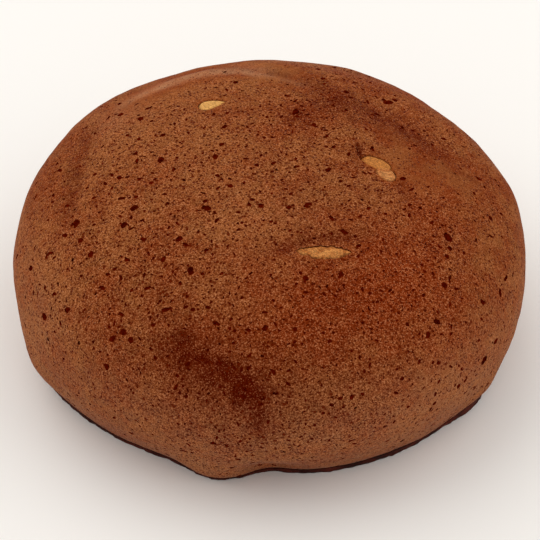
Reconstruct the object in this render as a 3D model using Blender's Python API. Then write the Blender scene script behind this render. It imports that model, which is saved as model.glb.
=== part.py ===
"""Mexican coffee bun: a round bread bun under a thin baked coffee topping.

The topping covers the bread like a shell, from the crown down to a lip just
above the base. It has torn open in three places, where the bread shows.
Sizes in the script are millimetres, and the meshes are made in metres.
X is the bun's width, Y points to its back and Z is up.
"""

import math

import bmesh
import bpy
import numpy as np
from mathutils import Matrix, Vector

MM = 0.001

# Outside form of the bun
HALF_WIDTH = 55.0
HALF_DEPTH = 54.8
WIDEST_HEIGHT = 20.3
DOME_RISE = 28.6
DOME_POWER = 2.25
BASE_HALF_WIDTH = 50.7
BASE_HALF_DEPTH = 43.2
SKIRT_FULLNESS = 1.65

# Topping and the room between it and the bread
TOPPING_THICKNESS = 1.4
CLEARANCE = 0.4
LIP_ROUNDING = 0.4
LIP_MEAN_HEIGHT = 1.6
LIP_SWING = 0.3
LIP_HIGH_SIDE = 335.0
LIP_WAVE = 0.15
LIP_WAVES_ROUND = 7
FOOT_LIP_DROP = 0.5
FOOT_WIDTH_DEGREES = 10.0
# Where the lip runs lower or higher: azimuth, width in degrees, rise
LIP_RUNS = ((225, 8, -0.3), (265, 7, -0.5), (277, 6, -0.3), (301, 6, 0.2), (316, 6, -0.65), (331, 5, 0.9))

# Bread below the lip
BAND_INSET = 0.15
HEEL_START = 0.5
HEEL_BEND = 0.12
HEEL_BEND_INSET = 0.25
HEEL_INSET = 0.45

# Fineness of the meshes
SEGMENTS = 80
DOME_RINGS = 28
SKIRT_RINGS = 8
INNER_DOME_RINGS = 12
INNER_SKIRT_RINGS = 4
GAP_OUTLINE_POINTS = 30
PIT_SEGMENTS = 9
PIT_RINGS = 6

# Places on the bun are an azimuth in degrees, counted from +X towards +Y,
# and a station: 0 at the crown, 1 at the widest height, 2 at the lip.

# Soft lumps and hollows: azimuth, station, radius, height
LUMPS = {
    "foot run down at the front": (257, 1.90, 7.6, 3.7),
    "tuck beside the foot": (269, 1.85, 6.2, -2.6),
    "right front corner": (330, 1.80, 5.0, 1.3),
    "right low flank": (338, 1.50, 10.0, 0.6),
    "right shoulder": (11, 0.81, 7.0, 0.7),
    "back right hollow": (42, 0.68, 10.0, -0.4),
    "back lump": (68, 0.62, 6.0, 0.35),
    "back left hollow": (104, 0.62, 14.0, -0.5),
    "back left lump": (138, 0.70, 12.0, 0.8),
    "left shoulder hollow": (176, 0.89, 7.0, -0.6),
    "left waist hollow": (188, 1.12, 6.0, -0.3),
    "left low bulge": (205, 1.58, 7.5, 1.6),
}

# Long folds and hollows: the places they pass, then the width on the side
# towards the crown, the width on the other side, and the height
FOLDS = {
    "edge of the risen cap": (
        ((134, 0.53), (118, 0.47), (98, 0.47), (78, 0.40), (59, 0.31), (41, 0.23), (21, 0.19), (5, 0.21)),
        8.0, 3.0, 1.2,
    ),
    "hollow behind the cap": (
        ((54, 0.30), (40, 0.35), (26, 0.43), (15, 0.50), (0, 0.57)),
        6.0, 7.0, -1.3,
    ),
    "left crease": (
        ((150, 0.58), (163, 0.52), (178, 0.51), (197, 0.58)),
        3.0, 4.0, -1.0,
    ),
    "front dent": (
        ((252, 0.59), (260, 0.68), (266, 0.78), (268, 0.92)),
        6.0, 6.0, -1.3,
    ),
    "right front foot": (
        ((256, 2.0), (266, 2.0), (278, 2.0), (290, 2.0), (302, 2.0), (314, 2.0), (330, 2.0)),
        7.0, 7.0, 0.9,
    ),
}
FOLD_FADE = 0.2
FOLD_STEPS = 8

# Tears in the topping: azimuth, station, heading of the long axis in plan,
# length, width, how pointed the ends are, how far the middle bows sideways,
# and how much fatter the tail end is than the head end
GAPS = {
    "centre": (294, 0.308, 2.5, 11.6, 3.4, 1.2, -0.45, 0.0),
    "back_left": (121.5, 0.247, 18.0, 6.4, 4.4, 1.1, 0.45, -0.45),
    "right_upper": (1.5, 0.240, -18.0, 6.9, 4.3, 1.0, 0.1, 0.0),
    "right_lower": (354, 0.266, -28.0, 4.9, 4.0, 0.95, 0.0, 0.1),
}
GAP_FLARE = 1.08
GAP_CUT_DEPTH = 3.0
GAP_CUT_RISE = 2.0
SWELL_MARGIN = 0.7
SWELL_TOP_DEPTH = 0.5
SWELL_RADIUS = 1.9
SWELL_SHARE_OF_BOW = 0.6

# The largest burst bubbles in the topping: azimuth, station, diameter
PITS = (
    (324, 0.98, 2.2),
    (44, 0.43, 2.0),
    (196, 0.52, 2.1),
    (336, 0.50, 2.1),
    (228, 0.20, 1.8),
    (203, 0.34, 1.8),
    (177, 0.24, 1.8),
    (242, 0.39, 1.7),
    (210, 0.84, 1.8),
    (314, 0.68, 1.6),
    (208, 0.39, 1.6),
    (70, 0.17, 1.9),
)
PIT_DEPTH = 0.8

# Colours of the baked surfaces, linear RGB
TOPPING_COLOUR = (0.205, 0.054, 0.019, 1.0)
BREAD_COLOUR = (0.480, 0.230, 0.085, 1.0)


def plan_radius(azimuth, half_width, half_depth):
    """Radius of an ellipse seen from above."""
    across = np.cos(azimuth) / half_width
    along = np.sin(azimuth) / half_depth
    return 1.0 / np.hypot(across, along)


def lip_height(azimuth):
    """Height of the topping's lower edge, lowest at the foot."""
    degrees = np.degrees(azimuth)
    from_foot = (degrees - LUMPS["foot run down at the front"][0] + 180.0) % 360.0 - 180.0
    swing = LIP_SWING * np.cos(azimuth - math.radians(LIP_HIGH_SIDE))
    wave = LIP_WAVE * np.sin(LIP_WAVES_ROUND * azimuth)
    foot = FOOT_LIP_DROP * np.exp(-(from_foot / FOOT_WIDTH_DEGREES) ** 2)
    runs = 0.0
    for centre, width, rise in LIP_RUNS:
        beside = (degrees - centre + 180.0) % 360.0 - 180.0
        runs += rise * np.exp(-(beside / width) ** 2)
    return LIP_MEAN_HEIGHT + swing + wave - foot + runs


def bare_form(azimuth, station, inset):
    """Points of the bun before its lumps and folds, moved in by the inset."""
    widest = plan_radius(azimuth, HALF_WIDTH - inset, HALF_DEPTH - inset)
    base = plan_radius(azimuth, BASE_HALF_WIDTH - inset, BASE_HALF_DEPTH - inset)
    turn = np.clip(station, 0.0, 1.0) * math.pi / 2.0
    drop = np.clip(station - 1.0, 0.0, 1.0) * (1.0 - lip_height(azimuth) / WIDEST_HEIGHT)
    power = 2.0 / DOME_POWER
    taper = SKIRT_FULLNESS * drop**2 - (SKIRT_FULLNESS - 1.0) * drop**3
    radius = widest * np.sin(turn) ** power - (widest - base) * taper
    rise = (DOME_RISE - inset) * np.clip(np.cos(turn), 0.0, 1.0) ** power
    height = WIDEST_HEIGHT * (1.0 - drop) + rise
    return np.stack([radius * np.cos(azimuth), radius * np.sin(azimuth), height], axis=-1)


def place(azimuth_degrees, station):
    """One point of the bare outside form."""
    azimuth = np.radians(np.array([float(azimuth_degrees)]))
    return bare_form(azimuth, np.array([float(station)]), 0.0)[0]


def smooth_path(places):
    """A Catmull-Rom curve through places on the form."""
    knots = [place(*one) for one in places]
    knots = [2 * knots[0] - knots[1]] + knots + [2 * knots[-1] - knots[-2]]
    points = []
    for first, start, end, last in zip(knots, knots[1:], knots[2:], knots[3:]):
        for step in range(FOLD_STEPS):
            t = step / FOLD_STEPS
            linear = (end - first) * t
            square = (2 * first - 5 * start + 4 * end - last) * t**2
            cube = (3 * start - first - 3 * end + last) * t**3
            points.append(0.5 * (2 * start + linear + square + cube))
    points.append(knots[-2])
    return points


def fold_height(points, places, inner_width, outer_width, height):
    """Height of a fold at each point, fading out at the fold's two ends."""
    path = smooth_path(places)
    centre = np.array([0.0, 0.0, WIDEST_HEIGHT])
    nearest = np.full(len(points), np.inf)
    width = np.full(len(points), outer_width)
    fade = np.ones(len(points))
    for index, (start, end) in enumerate(zip(path, path[1:])):
        along = end - start
        share = np.clip((points - start) @ along / (along @ along), 0.0, 1.0)
        away = points - start - share[:, None] * along
        distance = np.linalg.norm(away, axis=1)
        inside = away @ np.cross(start - centre, along) > 0.0
        run = (index + share) / (len(path) - 1)
        closer = distance < nearest
        nearest = np.where(closer, distance, nearest)
        width = np.where(closer, np.where(inside, inner_width, outer_width), width)
        ends = np.clip(np.minimum(run, 1.0 - run) / FOLD_FADE, 0.0, 1.0)
        fade = np.where(closer, ends, fade)
    return height * fade * np.exp(-(nearest / width) ** 2)


def relief(points):
    """Height of all lumps and folds at points of the bare outside form."""
    total = np.zeros(len(points))
    for azimuth, station, radius, height in LUMPS.values():
        distance = np.linalg.norm(points - place(azimuth, station), axis=1)
        total += height * np.exp(-(distance / radius) ** 2)
    for places, inner_width, outer_width, height in FOLDS.values():
        total += fold_height(points, places, inner_width, outer_width, height)
    return total


def bun_form(azimuth, station, inset):
    """Points of the bun's form, moved in by the inset, with its relief."""
    outside = bare_form(azimuth, station, 0.0)
    outward = outside - np.array([0.0, 0.0, WIDEST_HEIGHT])
    outward[:, 2] *= 1.0 - np.clip((station - 0.8) / 0.2, 0.0, 1.0)
    outward /= np.linalg.norm(outward, axis=1)[:, None]
    return bare_form(azimuth, station, inset) + outward * relief(outside)[:, None]


def surface_frame(azimuth_degrees, station, heading_degrees):
    """Matrix at a place on the bun: Z stands on the surface, X has the heading."""
    step = 0.01
    azimuth = np.radians(float(azimuth_degrees)) + np.array([0.0, step, 0.0])
    stations = station + np.array([0.0, 0.0, step])
    here, beside, below = bun_form(azimuth, stations, 0.0)
    normal = Vector(np.cross(below - here, beside - here)).normalized()
    heading = math.radians(heading_degrees)
    level = Vector((math.cos(heading), math.sin(heading), 0.0))
    x_axis = (level - level.dot(normal) * normal).normalized()
    y_axis = normal.cross(x_axis)
    turn = Matrix((x_axis, y_axis, normal)).transposed().to_4x4()
    return Matrix.Translation(Vector(here) * MM) @ turn


def add_object(name, mesh_builder, collection):
    """Make an object from a bmesh, in metres."""
    mesh = bpy.data.meshes.new(name)
    mesh_builder.to_mesh(mesh)
    mesh_builder.free()
    obj = bpy.data.objects.new(name, mesh)
    collection.objects.link(obj)
    return obj


def reshaped_sphere(rings, ring_points):
    """A UV sphere whose rings are moved, in order, to the rings of a form."""
    ball = bmesh.new()
    bmesh.ops.create_uvsphere(ball, u_segments=SEGMENTS, v_segments=len(rings) - 1, radius=1.0)
    members = {}
    for vertex in ball.verts:
        polar = math.acos(max(-1.0, min(1.0, vertex.co.z)))
        index = round(polar / math.pi * (len(rings) - 1))
        members.setdefault(index, []).append(vertex)
    for index, vertices in members.items():
        azimuth = np.array([math.atan2(vertex.co.y, vertex.co.x) for vertex in vertices])
        for vertex, point in zip(vertices, ring_points(azimuth, rings[index])):
            vertex.co = Vector(point) * MM
    bmesh.ops.recalc_face_normals(ball, faces=ball.faces)
    return ball


def inner_stations():
    """Stations of the rings on both sides of the room under the topping."""
    dome = np.linspace(0.0, 1.0, INNER_DOME_RINGS + 1)
    skirt = np.linspace(1.0, 2.0, INNER_SKIRT_RINGS + 1)[1:]
    return [float(station) for station in np.concatenate([dome, skirt])]


def topping_rings():
    """Outside from crown to lip, round the lip, and back up the inside."""
    dome = np.linspace(0.0, 1.0, DOME_RINGS + 1)
    skirt = np.linspace(1.0, 2.0, SKIRT_RINGS + 1)[1:]
    above_lip = 2.0 - LIP_ROUNDING / WIDEST_HEIGHT
    outside = [(float(station), 0.0) for station in np.concatenate([dome, skirt[:-1]])]
    lip = [(above_lip, 0.0), (2.0, LIP_ROUNDING)]
    inside = [(station, TOPPING_THICKNESS) for station in reversed(inner_stations())]
    return outside + lip + inside


def topping_ring_points(azimuth, ring):
    """Points of one ring of the topping."""
    station, inset = ring
    return bun_form(azimuth, np.full(len(azimuth), station), inset)


def bread_rings():
    """Bread from its crown to the ledge under the lip, the band and the heel."""
    under = TOPPING_THICKNESS + CLEARANCE
    covered = [(station, under, None) for station in inner_stations()]
    ledge = [(2.0, under, 1.0), (2.0, BAND_INSET, 1.0)]
    heel = [(2.0, BAND_INSET, HEEL_START), (2.0, HEEL_BEND_INSET, HEEL_BEND)]
    base = [(2.0, HEEL_INSET, 0.0), (0.0, 0.0, 0.0)]
    return covered + ledge + heel + base


def bread_ring_points(azimuth, ring):
    """Points of one ring of the bread. Its share is of the ledge's height."""
    station, inset, share = ring
    points = bun_form(azimuth, np.full(len(azimuth), station), inset)
    if share is not None:
        points[:, 2] = (lip_height(azimuth) - CLEARANCE) * share
    return points


def gap_outline(angle, length, width, point, bow, tail):
    """Outline of a tear: a lens that may be bowed and fatter at one end."""
    along = math.cos(angle)
    across = math.copysign(abs(math.sin(angle)) ** point, math.sin(angle))
    x = along * length / 2.0
    y = across * width / 2.0 * (1.0 + tail * along) + bow * (1.0 - along**2)
    return x, y


def gap_cutter(name, gap, collection):
    """A prism with a tear's outline, standing through the topping."""
    azimuth, station, heading, length, width, point, bow, tail = gap
    prism = bmesh.new()
    bmesh.ops.create_cone(
        prism, cap_ends=True, segments=GAP_OUTLINE_POINTS, radius1=1.0, radius2=1.0, depth=2.0
    )
    for vertex in prism.verts:
        angle = math.atan2(vertex.co.y, vertex.co.x)
        x, y = gap_outline(angle, length, width, point, bow, tail)
        top = vertex.co.z > 0.0
        flare = GAP_FLARE if top else 1.0 / GAP_FLARE
        height = GAP_CUT_RISE if top else -GAP_CUT_DEPTH
        vertex.co = Vector((x * flare, y * flare, height)) * MM
    obj = add_object(name, prism, collection)
    obj.matrix_world = surface_frame(azimuth, station, heading)
    return obj


def pit_cutter(name, pit, collection):
    """A ball that presses one burst bubble into the topping."""
    azimuth, station, diameter = pit
    ball = bmesh.new()
    bmesh.ops.create_uvsphere(ball, u_segments=PIT_SEGMENTS, v_segments=PIT_RINGS, radius=1.0)
    bmesh.ops.scale(ball, vec=Vector((diameter / 2.0, diameter / 2.0, PIT_DEPTH)) * MM, verts=ball.verts)
    obj = add_object(name, ball, collection)
    obj.matrix_world = surface_frame(azimuth, station, 0.0)
    return obj


def bread_swell(name, gap, collection):
    """A low dome of bread that swells up into a tear."""
    azimuth, station, heading, length, width, _, bow, _ = gap
    dome = bmesh.new()
    bmesh.ops.create_uvsphere(dome, u_segments=16, v_segments=8, radius=1.0)
    size = Vector((length / 2.0 - SWELL_MARGIN, width / 2.0 - SWELL_MARGIN, SWELL_RADIUS)) * MM
    bmesh.ops.scale(dome, vec=size, verts=dome.verts)
    obj = add_object(name, dome, collection)
    middle = Vector((0.0, bow * SWELL_SHARE_OF_BOW, -SWELL_TOP_DEPTH - SWELL_RADIUS))
    sink = Matrix.Translation(middle * MM)
    obj.matrix_world = surface_frame(azimuth, station, heading) @ sink
    return obj


def add_boolean(obj, operation, collection):
    """Cut a collection's objects from an object, or join them to it."""
    boolean = obj.modifiers.new(collection.name, "BOOLEAN")
    boolean.operation = operation
    boolean.solver = "EXACT"
    boolean.operand_type = "COLLECTION"
    boolean.collection = collection


def surface_material(name, colour, roughness):
    """A plain baked surface."""
    material = bpy.data.materials.new(name)
    material.use_nodes = True
    shader = material.node_tree.nodes["Principled BSDF"]
    shader.inputs["Base Color"].default_value = colour
    shader.inputs["Roughness"].default_value = roughness
    shader.inputs["Metallic"].default_value = 0.0
    material.diffuse_color = colour
    return material


def finish(obj, material):
    """Give a piece its material and smooth shading."""
    obj.data.materials.append(material)
    obj.data.shade_smooth()
    obj.data.set_sharp_from_angle(angle=math.radians(40.0))


def new_collection(name):
    """A collection in the scene."""
    collection = bpy.data.collections.new(name)
    bpy.context.scene.collection.children.link(collection)
    return collection


def hide_tools(collection):
    """Show cutting and joining shapes as wires, out of the render."""
    for obj in collection.objects:
        obj.hide_render = True
        obj.display_type = "WIRE"


def make_topping(collection, cutters):
    """The coffee topping, with its tears and largest pits."""
    topping = add_object("coffee_topping", reshaped_sphere(topping_rings(), topping_ring_points), collection)
    for name, gap in GAPS.items():
        gap_cutter(f"tear_{name}", gap, cutters)
    for index, pit in enumerate(PITS):
        pit_cutter(f"pit_{index + 1}", pit, cutters)
    add_boolean(topping, "DIFFERENCE", cutters)
    finish(topping, surface_material("baked coffee topping", TOPPING_COLOUR, 0.62))
    return topping


def make_bread(collection, swells):
    """The bread under the topping, with its flat base."""
    bread = add_object("bread", reshaped_sphere(bread_rings(), bread_ring_points), collection)
    for name, gap in GAPS.items():
        bread_swell(f"swell_{name}", gap, swells)
    add_boolean(bread, "UNION", swells)
    finish(bread, surface_material("bun bread", BREAD_COLOUR, 0.8))
    return bread


def main():
    """Build the bun in an emptied scene."""
    for obj in list(bpy.data.objects):
        bpy.data.objects.remove(obj, do_unlink=True)
    bun = new_collection("mexican_coffee_bun")
    cutters = new_collection("topping_cutters")
    swells = new_collection("bread_swells")
    make_topping(bun, cutters)
    make_bread(bun, swells)
    hide_tools(cutters)
    hide_tools(swells)


if __name__ == "__main__":
    main()
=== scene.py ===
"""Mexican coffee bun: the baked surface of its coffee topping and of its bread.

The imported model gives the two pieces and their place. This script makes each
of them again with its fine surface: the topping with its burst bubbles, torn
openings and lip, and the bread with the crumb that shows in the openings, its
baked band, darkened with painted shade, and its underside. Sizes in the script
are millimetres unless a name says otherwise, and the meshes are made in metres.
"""

import math
from collections import namedtuple
from functools import partial

import bpy
import numpy as np
from bpy.props import FloatProperty, FloatVectorProperty, IntProperty, PointerProperty
from mathutils import Matrix, Vector, noise
from mathutils.geometry import delaunay_2d_cdt


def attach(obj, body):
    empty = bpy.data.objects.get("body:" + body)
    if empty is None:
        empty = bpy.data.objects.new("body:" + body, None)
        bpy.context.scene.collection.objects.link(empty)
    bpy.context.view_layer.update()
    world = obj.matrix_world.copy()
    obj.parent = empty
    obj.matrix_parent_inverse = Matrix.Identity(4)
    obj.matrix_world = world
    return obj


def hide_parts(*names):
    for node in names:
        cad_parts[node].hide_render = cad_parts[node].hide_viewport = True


bl_info = {
    "name": "Mexican Coffee Bun",
    "version": (1, 0, 0),
    "blender": (4, 5, 0),
    "location": "3D View > Sidebar > Bun",
    "description": "Builds the baked surface of a coffee bun around its packed model",
    "category": "Object",
}

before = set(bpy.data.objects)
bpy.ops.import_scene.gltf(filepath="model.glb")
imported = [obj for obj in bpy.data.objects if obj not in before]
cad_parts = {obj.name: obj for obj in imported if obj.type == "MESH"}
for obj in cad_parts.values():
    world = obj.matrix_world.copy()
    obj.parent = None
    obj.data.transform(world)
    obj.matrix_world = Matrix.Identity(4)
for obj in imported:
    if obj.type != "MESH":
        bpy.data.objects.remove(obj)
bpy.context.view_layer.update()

MM = 0.001

# Outside form of the bun
HALF_WIDTH = 55.0
HALF_DEPTH = 54.8
WIDEST_HEIGHT = 20.3
DOME_RISE = 28.6
DOME_POWER = 2.25
BASE_HALF_WIDTH = 50.7
BASE_HALF_DEPTH = 43.2
SKIRT_FULLNESS = 1.65
# Relief stands out from a point on the axis, and the way out turns level
# from one station on, over a stretch of stations
HEART = np.array((0.0, 0.0, WIDEST_HEIGHT))
LEVELLING = (0.8, 0.2)

# Topping, its lip and the room under it
TOPPING_THICKNESS = 1.4
CLEARANCE = 0.4
LIP_MEAN_HEIGHT = 1.6
LIP_SWING = 0.3
LIP_HIGH_SIDE = 335.0
LIP_WAVE = 0.15
LIP_WAVES_ROUND = 7
FOOT_LIP_DROP = 0.5
FOOT_WIDTH_DEGREES = 10.0
LIP_RIPPLES = ((37, 0.07), (61, 0.06), (97, 0.06), (151, 0.05))
# Where the lip runs lower or higher: azimuth, width in degrees, rise
LIP_RUNS = (
    (225, 8, -0.3), (265, 7, -0.5), (277, 6, -0.3), (301, 6, 0.2), (316, 6, -0.65), (331, 5, 0.9),
)

# Rounding of the lip: how high its outside ends, and insets of two rings
LIP_ROUND = 0.35
LIP_INSETS = (0.35, 1.05)

# Bread below the lip
BAND_INSET = 0.15
BASE_RIM_WIDTH = 3.0

# Places on the bun are an azimuth in degrees, counted from +X towards +Y,
# and a station: 0 at the crown, 1 at the widest height, 2 at the lip.
LIP_STATION = 2.0

# Soft lumps and hollows: azimuth, station, radius, height
LUMPS = {
    "foot run down at the front": (257, 1.90, 7.6, 3.7),
    "tuck beside the foot": (269, 1.85, 6.2, -2.6),
    "right front corner": (330, 1.80, 5.0, 1.3),
    "right low flank": (338, 1.50, 10.0, 0.6),
    "right shoulder": (11, 0.81, 7.0, 0.7),
    "back right hollow": (42, 0.68, 10.0, -0.4),
    "back lump": (68, 0.62, 6.0, 0.35),
    "back left hollow": (104, 0.62, 14.0, -0.5),
    "back left lump": (138, 0.70, 12.0, 0.8),
    "left shoulder hollow": (176, 0.89, 7.0, -0.6),
    "left waist hollow": (188, 1.12, 6.0, -0.3),
    "left low bulge": (205, 1.58, 7.5, 1.6),
}

# Long folds and hollows: the places they pass, then the width on the side
# towards the crown, the width on the other side, and the height
FOLDS = {
    "edge of the risen cap": (
        ((134, 0.53), (118, 0.47), (98, 0.47), (78, 0.40), (59, 0.31), (41, 0.23), (21, 0.19), (5, 0.21)),
        8.0, 3.0, 1.2,
    ),
    "hollow behind the cap": (
        ((54, 0.30), (40, 0.35), (26, 0.43), (15, 0.50), (0, 0.57)), 6.0, 7.0, -1.3,
    ),
    "left crease": (((150, 0.58), (163, 0.52), (178, 0.51), (197, 0.58)), 3.0, 4.0, -1.0),
    "front dent": (((252, 0.59), (260, 0.68), (266, 0.78), (268, 0.92)), 6.0, 6.0, -1.3),
    "right front foot": (
        ((256, 2.0), (266, 2.0), (278, 2.0), (290, 2.0), (302, 2.0), (314, 2.0), (330, 2.0)), 7.0, 7.0, 0.9,
    ),
}

# Narrow creases that only the fine surface holds, in the same form
CREASES = {
    "crest of the cap's edge": (
        ((134, 0.495), (125, 0.468), (115, 0.446), (104, 0.430), (98, 0.406), (92, 0.362), (85, 0.331),
         (76, 0.309)),
        1.8, 0.7, 0.30,
    ),
    "furrow behind the crest": (
        ((130, 0.51), (118, 0.49), (108, 0.473), (98, 0.432), (92, 0.393), (85, 0.366), (77, 0.342),
         (68, 0.315)),
        0.9, 2.0, -0.35,
    ),
    "slot at the cap's end": (
        ((18, 0.194), (12, 0.196), (8, 0.199), (4, 0.203), (1, 0.207)), 0.8, 0.4, -1.0,
    ),
    "furrow of the centre tear": (
        ((272, 0.280), (283, 0.269), (297, 0.272), (306, 0.300), (317, 0.335)), 1.8, 0.9, -0.45,
    ),
    "run below the right tear": (((353, 0.297), (346, 0.322), (340, 0.347)), 1.6, 1.4, -0.5),
}
# Share of a fold over which each end fades, steps of its curve from place to
# place, and the rows of points that follow a crease
FOLD_FADE = 0.2
FOLD_STEPS = 8
CREASE_SPACING = 0.45
CREASE_ROWS = (-1.3, -0.8, -0.4, 0.0, 0.4, 0.8, 1.3)

# Each tear: azimuth, station, heading in plan, length, width, pointedness of
# the ends, bow of the middle and fatness of the tail; how far the outline
# wanders, how far the far and near lips roll in, how deep the crumb lies
# below the far and near lips, how rough it is, its two colours, and how much
# thin crust tints the far and near edges
Tear = namedtuple(
    "Tear",
    "azimuth station heading length width point bow tail ragged"
    " back_roll front_roll back_depth front_depth rough crumb fringe tints",
)
TEARS = {
    "centre": Tear(
        294, 0.308, 2.5, 11.6, 3.4, 1.2, -0.45, 0.0,
        0.55, 0.45, 0.1, 0.42, 0.15, 0.42, "#BE7E42", "#9A5724", (0.05, 0.15),
    ),
    "back_left": Tear(
        121.5, 0.247, 18, 6.4, 4.4, 1.1, 0.45, -0.45,
        0.14, 0.2, 0.05, 0.30, 0.1, 0.08, "#C79350", "#B07A3C", (0.3, 0.1),
    ),
    "right_upper": Tear(
        1.5, 0.240, -18, 6.9, 4.3, 1.0, 0.1, 0.0,
        0.1, 0.3, 0.05, 0.34, 0.1, 0.06, "#AC6C31", "#97521F", (0.3, 0.3),
    ),
    "right_lower": Tear(
        354, 0.266, -28, 4.9, 4.0, 0.95, 0.0, 0.1,
        0.18, 0.15, 0.05, 0.2, 0.05, 0.26, "#B67A46", "#A05A28", (0.4, 0.3),
    ),
}
OPENINGS = (("centre",), ("back_left",), ("right_upper", "right_lower"))
# How far round a tear its lips reach, how tears that meet are blended, and
# how their outlines are drawn: calm at the ends, with layers of wandering
# that each have a size, a height and a seed
TEAR_REACH = 5.0
MEETING_WIDTH = 0.25
MEETING_POWER = 8
LENS_STEPS = 400
END_CALM = 1.6
WANDER = ((1.3, 1.0, 4), (0.5, 0.5, 5))
# The topping at a tear: width of the rolled lip, thickness of the edge, how
# far it tapers, the room under it, and how far it bulges into the tear
ROLL_WIDTH = 1.5
EDGE_THICKNESS = 0.45
EDGE_TAPER = 2.4
EDGE_CONTACT = 0.08
EDGE_ROUND = 0.12
# The crumb in a tear: how soon it rises, its grain, and how far outside the
# outline it is rough and has the colours of crumb
CRUMB_RISE = 0.35
CRUMB_GRAIN = ((0.9, 0.6, 7), (0.4, 0.4, 8))
CRUMB_ROUGH_REACH = 0.3
CRUMB_COLOUR_REACH = 0.5

# The largest burst bubbles: azimuth, station, diameter
PITS = (
    (324, 0.98, 2.2), (44, 0.43, 2.0), (196, 0.52, 2.1), (336, 0.50, 2.1), (228, 0.20, 1.8), (203, 0.34, 1.8),
    (177, 0.24, 1.8), (242, 0.39, 1.7), (210, 0.84, 1.8), (314, 0.68, 1.6), (208, 0.39, 1.6), (70, 0.17, 1.9),
)
# Their depth, their half widths as shares of the diameter, the turn from one
# to the next in degrees, and how a ball of radius 1 swells unevenly
PIT_DEPTH = 0.8
PIT_HALF_WIDTHS = (0.55, 0.42)
PIT_TURN = 40.0
PIT_SWELLINGS = ((1.2, 0.4, 20), (0.5, 0.35, 40))

# Size classes of the scattered bubbles: spacing, chance for each square
# millimetre where they are thickest, smallest and largest diameter, and how
# many times a bubble's ball is subdivided
BUBBLES = {
    "fine": (0.75, 0.300, 0.44, 0.74, 1),
    "middling": (1.1, 0.090, 0.74, 1.1, 1),
    "coarse": (2.0, 0.023, 1.05, 1.55, 2),
}
# Their depth as a share of the radius, the most that one is stretched, how
# ragged they are as a share of the smallest diameter, the grain of that, how
# far the small ones outnumber the large ones, and the seeds of two draws
BUBBLE_DEPTH = 0.75
BUBBLE_STRETCH = 1.5
BUBBLE_RAGGED = 0.9
BUBBLE_GRAIN = 0.7
BUBBLE_SKEW = 1.7
STRETCH_SEED = 3
SPIN_SEED = 5

# How thick the bubbles lie: on the flanks, what the crown adds, and what spots
# and runs add or take away, laid out as those of the stains
FLANK_BUBBLES = 0.34
CROWN_BUBBLES = 0.38
CROWN_REACH = (0.25, 0.95)
BUBBLE_SPOTS = (
    (70, 0.17, 4.5, 0.9), (52, 0.34, 5.0, 0.3), (220, 0.30, 12.0, 0.2), (223, 0.49, 9.0, 0.35),
    (240, 0.58, 12.0, 0.3), (262, 0.76, 13.0, 0.55), (268, 0.97, 9.0, 0.4), (284, 0.85, 12.0, 0.35),
    (312, 0.60, 8.0, 0.15), (214, 0.76, 8.0, 0.15), (121, 0.25, 5.0, -0.4), (4, 0.475, 8.0, -0.5),
    (359, 0.36, 6.0, -0.3), (26, 0.30, 4.0, -0.4), (45, 0.62, 7.0, -0.3), (9, 0.88, 8.0, -0.3),
    (10, 0.30, 6.0, -0.4), (350, 0.33, 5.0, -0.2), (142, 0.43, 9.0, -0.25), (190, 0.48, 8.0, -0.15),
    (343, 0.60, 8.0, -0.2),
)
BUBBLE_RUNS = (
    (((150, 0.53), (132, 0.52), (118, 0.52), (104, 0.5), (92, 0.42), (77, 0.36), (60, 0.31)), 4, 9, -0.7),
)

# Fineness of the meshes: numbers of points, and distances between them
PROFILE_STEPS = 1600
PROFILE_AZIMUTH = math.pi / 4.0
OUTSIDE_POINTS = 18000
INSIDE_POINTS = 2600
BREAD_POINTS = 5000
BASE_POINTS = 9000
RIM_POINTS = 420
CRUMB_SPACING = 0.2
OUTLINE_SPACING = 0.3
GOLDEN_ANGLE = math.pi * (3.0 - math.sqrt(5.0))
# Rings of points round each tear, by their distance from its outline, how
# much coarser they are further out, and the room that other points leave
OUTSIDE_RINGS = (0.3, 0.7, 1.2)
INSIDE_RINGS = (1.0,)
BREAD_RINGS = (0.4, 0.9, 1.6)
RING_COARSENING = 0.4
RING_MARGIN = 0.2
# Points of the crumb fill more than the tear's box and are kept this far
# inside its outline
CRUMB_FILL = 1.2
CRUMB_MARGIN = 0.1
# What triangles fill: all between the points, or the inside of the edges
ALL_BETWEEN = 0
INSIDE_EDGES = 1
# Points that are compared at once, distance on the map at which two merge,
# rise that stands in for none, and the fewest points of a loop
POINTS_AT_ONCE = 200
SAME_POINT = 1e-7
NEARLY_LEVEL = 1e-9
LEAST_LOOP = 8

# No bubbles are strewn this near a tear
TEAR_CALM = 0.9

# The crust in mm: its grains, which stand up a little, and its pinholes, by the
# size of the cells that hold one each, radius, and how rare they are
GRAIN_SIZE = 0.3
GRAIN_HEIGHT = 0.07
PINHOLES = ((0.62, 0.16, 0.43), (1.1, 0.25, 0.72), (1.9, 0.34, 0.95))
PINHOLE_DEPTH = 0.15
# Soft edge of a pinhole as shares of its radius, size and swing of the wobble
# in its outline, how softly rare ones fade in, and how dark they are, which is
# partly painted shade
PINHOLE_EDGE = (0.7, 1.3)
PINHOLE_WOBBLE = (0.5, 0.35)
PINHOLE_FADE = 0.3
PINHOLE_DARKNESS = 0.9
# Weight of the sheen that fine sugar dust gives
SUGAR_DUST = 0.08
# Size of the grains of the crumb and how high they stand
CRUMB_GRAIN_SIZE = 0.35
CRUMB_GRAIN_HEIGHT = 0.12
BUMP_STRENGTH = 0.9

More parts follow.
